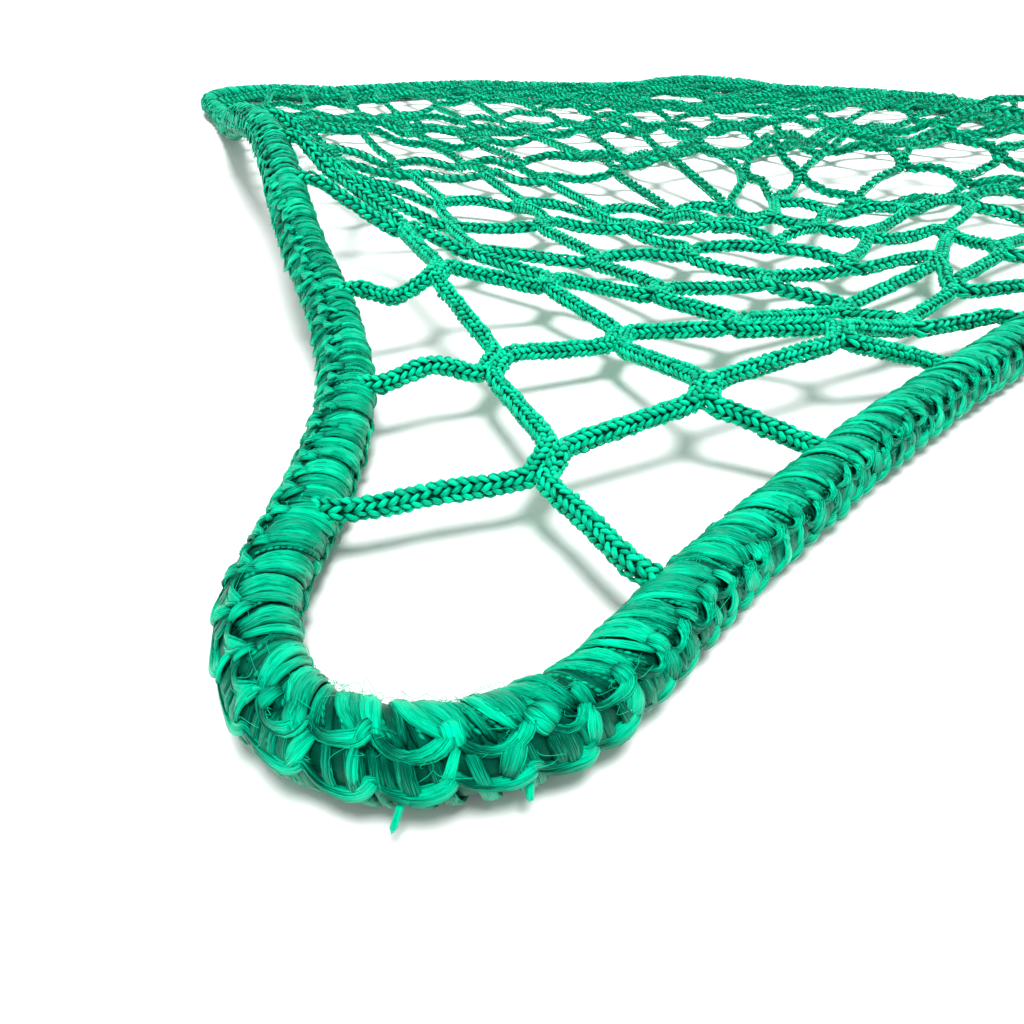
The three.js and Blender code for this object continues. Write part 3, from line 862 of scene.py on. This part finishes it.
def add_core(yarns, first, last, light):
    """The rope under its cover, painted dark as the shade in the gaps between the wraps."""
    steps = round((last - first) / CORE_STEP)
    s = np.linspace(first - CORE_STEP, last + CORE_STEP, steps)[None]
    path = rope.read(rope.points, s)
    yarns.sweep(path, rope.read(rope.up, s), ROPE_CORE, ROPE_CORE, ROPE_CORE_SIDES, light, light)


def add_plies(yarns, starts):
    """Plied yarns between the wraps, each a row of short slanted turns."""
    stitches = stitch_count(starts)
    t = np.linspace(0, 1, PLY_STEPS)[None]
    taper = tapered(t)
    turns = np.linspace(0, 1, PLY_TURNS, endpoint=False)
    for share in PLY_SHARES:
        shift = share + rng.normal(0, COVER_SHIFT, (stitches, 1))
        place = (np.arange(stitches)[:, None] + shift + PLY_RUN * turns).reshape(-1, 1)
        angle = np.tile(PLY_FROM + (PLY_TO - PLY_FROM) * turns, stitches)[:, None]
        s = stitch_place(starts, place) + PLY_SLANT * (2 * t - 1)
        turn = rolled(s, angle) + PLY_LONG / PLY_RADIUS * t
        path, outward = rope.place(s, turn, np.full(turn.shape, PLY_RADIUS))
        tone_and_shade = rng.uniform(0, PLY_TINT, len(place))
        wide = PLY_WIDTH * taper
        # Painted shade: each turn is darker at its tucked ends
        yarns.sweep(path, outward, wide, PLY_THICK * taper, PLY_SIDES, tone_and_shade, PLY_CREST * taper)


# Loose fibres that stand off the cover: where they are along the rope and round it, how many and how high
Fuzz = namedtuple("Fuzz", "first last low high count rise")
FUZZ = [
    Fuzz(-150, 150, -115, 75, 500, 0.25),
    Fuzz(-16, 8, -85, -50, 60, 0.35),
]
FUZZ_ALONG = 2.4
FUZZ_TURN = 18
FUZZ_BASE = 4.35
FUZZ_CURL = 0.5
FUZZ_WAVES = (4, 9)
FUZZ_WIDTH = 0.032
FUZZ_STEPS = 9
FUZZ_SIDES = 3
FUZZ_TINT = 0.4


def add_fuzz(yarns, first, last):
    """Fine loose fibres in low arches over the cover."""
    t = np.linspace(0, 1, FUZZ_STEPS)[None]
    for row in FUZZ:
        start, end = max(first, row.first), min(last, row.last)
        count = round(row.count * (end - start) / (row.last - row.first))
        s = rng.uniform(start, end, (count, 1)) + rng.normal(0, FUZZ_ALONG, (count, 1)) * t
        angle = rng.uniform(row.low, row.high, (count, 1)) + rng.normal(0, FUZZ_TURN, (count, 1)) * t
        rise = rng.exponential(row.rise, (count, 1))
        wave = np.sin(rng.uniform(*FUZZ_WAVES, (count, 1)) * t + rng.uniform(0, 2 * math.pi, (count, 1)))
        radius = FUZZ_BASE + rise * np.sin(math.pi * t)
        path, outward = rope.place(s + FUZZ_CURL * wave, np.radians(angle), radius)
        tone_and_shade = rng.uniform(FUZZ_TINT, 1, count)
        yarns.sweep(path, outward, FUZZ_WIDTH, FUZZ_WIDTH, FUZZ_SIDES, tone_and_shade, 1)


# Cut yarn ends at the loop's tip: distance along the rope, angle, length and sway along
Stub = namedtuple("Stub", "distance angle length sway")
STUBS = [
    Stub(-0.6, 98, 2.6, -0.6),
    Stub(8.6, 98, 1.6, -0.5),
]
STUB_WIDTH = 0.5
STUB_FLARE = 0.4
STUB_THICK = 0.35
STUB_BASE = 3.9
STUB_STEPS = 6
STUB_SIDES = 7
STUB_DROOP = 14
STUB_TINT = 0.7


def add_stubs(yarns):
    """The cut ends of the overedge yarn at the loop's tip."""
    t = np.linspace(0, 1, STUB_STEPS)[None]
    for stub in STUBS:
        s = stub.distance + stub.sway * t
        path, _ = rope.place(s, np.radians(stub.angle + STUB_DROOP * t), STUB_BASE + stub.length * t)
        flare = STUB_WIDTH * (1 + STUB_FLARE * t)
        yarns.sweep(path, rope.read(rope.along, s), flare, STUB_THICK, STUB_SIDES, STUB_TINT, 1)


# Yarn looks: linear colours at the dark end, the painted shade in the gaps, and at the light end, the
# painted light on the crests, and what lightens a place
Look = namedtuple("Look", "dark light base")
CORD_LOOK = Look((0.0, 0.05, 0.027), (0.0, 0.95, 0.52), -1.0)
ROPE_LOOK = Look((0.0, 0.05, 0.027), (0.0, 0.95, 0.52), -1.15)
# Painted light and shade by crest, random tone and painted shade by tint, and fibre streaks
BY_CREST = 0.55
BY_TINT = 0.4
BY_STREAK = 1.8
FIBRE_SCALE = (6.5, 0.2, 1)
STREAK_SCALE = 1.6
STREAK_DETAIL = 4
STREAK_ROUGHNESS = 0.65
STREAK_BUMP = 0.4
STREAK_DEPTH = 0.0002
YARN_ROUGHNESS = 0.4
YARN_SPECULAR = 0.4
YARN_SHEEN = 0.1
SHEEN_ROUGHNESS = 0.4
GLOSS_GREEN = (0.0, 1.0, 0.62, 1)


def yarn_material(name, look):
    """Shiny multifilament yarn with fine fibres along it, with painted light on its crests and painted
    shade in its gaps and tucked ends.
    """
    material = bpy.data.materials.new(name)
    material.use_nodes = True
    tree = material.node_tree
    shader = tree.nodes["Principled BSDF"]

    def node(kind, **values):
        made = tree.nodes.new(kind)
        for key, value in values.items():
            setattr(made, key, value)
        return made

    def link(source, target):
        tree.links.new(source, target)

    fibre = node("ShaderNodeUVMap", uv_map="fibre")
    stretch = node("ShaderNodeMapping")
    stretch.inputs["Scale"].default_value = FIBRE_SCALE
    link(fibre.outputs["UV"], stretch.inputs["Vector"])
    streaks = node("ShaderNodeTexNoise")
    streaks.inputs["Scale"].default_value = STREAK_SCALE
    streaks.inputs["Detail"].default_value = STREAK_DETAIL
    streaks.inputs["Roughness"].default_value = STREAK_ROUGHNESS
    link(stretch.outputs["Vector"], streaks.inputs["Vector"])
    level = None
    # Painted light and shade: the level is higher on crests and lower in gaps and at tucked ends
    for source, share in (("crest", BY_CREST), ("tone_and_shade", BY_TINT), (None, BY_STREAK)):
        value = node("ShaderNodeAttribute", attribute_name=source) if source else streaks
        added = node("ShaderNodeMath", operation="MULTIPLY_ADD")
        link(value.outputs["Fac"], added.inputs[0])
        added.inputs[1].default_value = share
        added.inputs[2].default_value = look.base
        if level:
            link(level.outputs[0], added.inputs[2])
        level = added
    ramp = node("ShaderNodeValToRGB")
    ramp.color_ramp.elements[0].color = (*look.dark, 1)
    ramp.color_ramp.elements[1].color = (*look.light, 1)
    link(level.outputs[0], ramp.inputs["Fac"])
    link(ramp.outputs["Color"], shader.inputs["Base Color"])
    bump = node("ShaderNodeBump")
    bump.inputs["Strength"].default_value = STREAK_BUMP
    bump.inputs["Distance"].default_value = STREAK_DEPTH
    link(streaks.outputs["Fac"], bump.inputs["Height"])
    link(bump.outputs["Normal"], shader.inputs["Normal"])
    shader.inputs["Roughness"].default_value = YARN_ROUGHNESS
    shader.inputs["Specular IOR Level"].default_value = YARN_SPECULAR
    shader.inputs["Specular Tint"].default_value = GLOSS_GREEN
    shader.inputs["Sheen Weight"].default_value = YARN_SHEEN
    shader.inputs["Sheen Roughness"].default_value = SHEEN_ROUGHNESS
    shader.inputs["Sheen Tint"].default_value = GLOSS_GREEN
    return material


cord_green = yarn_material("cord_green", CORD_LOOK)
rope_green = yarn_material("rope_green", ROPE_LOOK)

# Netting, in bands by distance from the camera and by side
NEAR_VIEW = 165
MIDDLE_VIEW = 255
SIDE_MESHES = 3

# The bands' flat sizes in metres, the flat area of their cords without the gaps, and the rope on them
Band = namedtuple("Band", "width length area edges")
BANDS = {
    "near": Band(0.12, 0.15, 0.0072, ["rope_loop_left", "rope_loop_right"]),
    "middle": Band(0.18, 0.24, 0.0179, []),
    "far_left": Band(0.27, 0.24, 0.0296, ["rope_left"]),
    "far_middle": Band(0.24, 0.21, 0.0211, []),
    "far_right": Band(0.24, 0.225, 0.0238, ["rope_right"]),
}


def band_of(away, a, b):
    """The band of a cord, by its distance from the camera and its first joint."""
    if away < NEAR_VIEW:
        return "near"
    if away < MIDDLE_VIEW:
        return "middle"
    if b >= a + SIDE_MESHES:
        return "far_left"
    return "far_right" if b < a - SIDE_MESHES else "far_middle"


cords = cord_lines()
net_pieces = {}
for band in BANDS:
    yarns = Yarns()
    for cord, away, a, b in cords:
        if band_of(away, a, b) == band:
            add_cord(yarns, cord, CORD_DETAIL[band.split("_")[0]])
    net_pieces[band] = yarns.build("netting_" + band, cord_green)

# Rope, in runs by distance from the tip of its near loop
NEAR_RUN = 150
Run = namedtuple("Run", "name first last detail")
RUNS = [
    Run("rope_loop_left", -NEAR_RUN, 0, "near"),
    Run("rope_loop_right", 0, NEAR_RUN, "near"),
    Run("rope_right", NEAR_RUN, rope.length / 2, "far"),
    Run("rope_left", rope.length / 2, rope.length - NEAR_RUN, "far"),
]
rope_pieces = {}
for run in RUNS:
    yarns = Yarns()
    detail = COVER_DETAIL[run.detail]
    starts = stitch_starts(run.first, run.last)
    add_core(yarns, run.first, run.last, detail.core)
    add_cover(yarns, starts, detail)
    add_chains(yarns, starts, detail)
    if run.detail == "near":
        add_plies(yarns, starts)
        add_fuzz(yarns, run.first, run.last)
    if run.name == "rope_loop_right":
        add_stubs(yarns)
    rope_pieces[run.name] = yarns.build(run.name, rope_green)

# What every piece rides on and stands for
for band, piece in net_pieces.items():
    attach(piece, "root")
    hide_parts("net")
for piece in rope_pieces.values():
    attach(piece, "root")
    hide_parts("edge_rope")

# Floor
FLOOR_REACH = 12.0
FLOOR_WHITE = (0.94, 0.94, 0.94, 1)
FLOOR_ROUGHNESS = 0.9
floor_mesh = bpy.data.meshes.new("floor")
floor_corners = [(x * FLOOR_REACH, y * FLOOR_REACH, 0) for x, y in ((-1, -1), (1, -1), (1, 1), (-1, 1))]
floor_mesh.from_pydata(floor_corners, [], [(0, 1, 2, 3)])
floor = bpy.data.objects.new("floor", floor_mesh)
bpy.context.scene.collection.objects.link(floor)
pale = bpy.data.materials.new("pale_floor")
pale.use_nodes = True
pale_shader = pale.node_tree.nodes["Principled BSDF"]
pale_shader.inputs["Base Color"].default_value = FLOOR_WHITE
pale_shader.inputs["Roughness"].default_value = FLOOR_ROUGHNESS
floor_mesh.materials.append(pale)

# Soft light all round, and a key light from above and a little to the front
SKY_POWER = 0.6
SKY_WHITE = (1, 1, 1, 1)
KEY_FROM = (0.1, -0.2, 1.0)
KEY_POWER = 3.6
KEY_SPREAD = 24
world = bpy.data.worlds.new("studio")
bpy.context.scene.world = world
world.use_nodes = True
world.node_tree.nodes["Background"].inputs["Color"].default_value = SKY_WHITE
world.node_tree.nodes["Background"].inputs["Strength"].default_value = SKY_POWER
key_data = bpy.data.lights.new("key", "SUN")
key_data.energy = KEY_POWER
key_data.angle = math.radians(KEY_SPREAD)
key = bpy.data.objects.new("key", key_data)
key.location = KEY_FROM
key.rotation_euler = (-key.location).to_track_quat("-Z", "Y").to_euler()
bpy.context.scene.collection.objects.link(key)

# Camera
LEVEL = math.radians(90)
CLIP_START = 0.002
CLIP_END = 60
camera_data = bpy.data.cameras.new("camera")
camera_data.sensor_width = SENSOR
camera_data.lens = FOCAL_PIXELS / FRAME_PIXELS * SENSOR
camera_data.clip_start = CLIP_START
camera_data.clip_end = CLIP_END
camera = bpy.data.objects.new("camera", camera_data)
camera.location = (np.array([0, 0, CAMERA_HEIGHT]) - ORIGIN) * MM
camera.rotation_euler = (LEVEL - TILT_DOWN, 0, 0)
bpy.context.scene.collection.objects.link(camera)
bpy.context.scene.camera = camera
bpy.context.scene.view_settings.view_transform = "Standard"

bpy.context.view_layer.update()
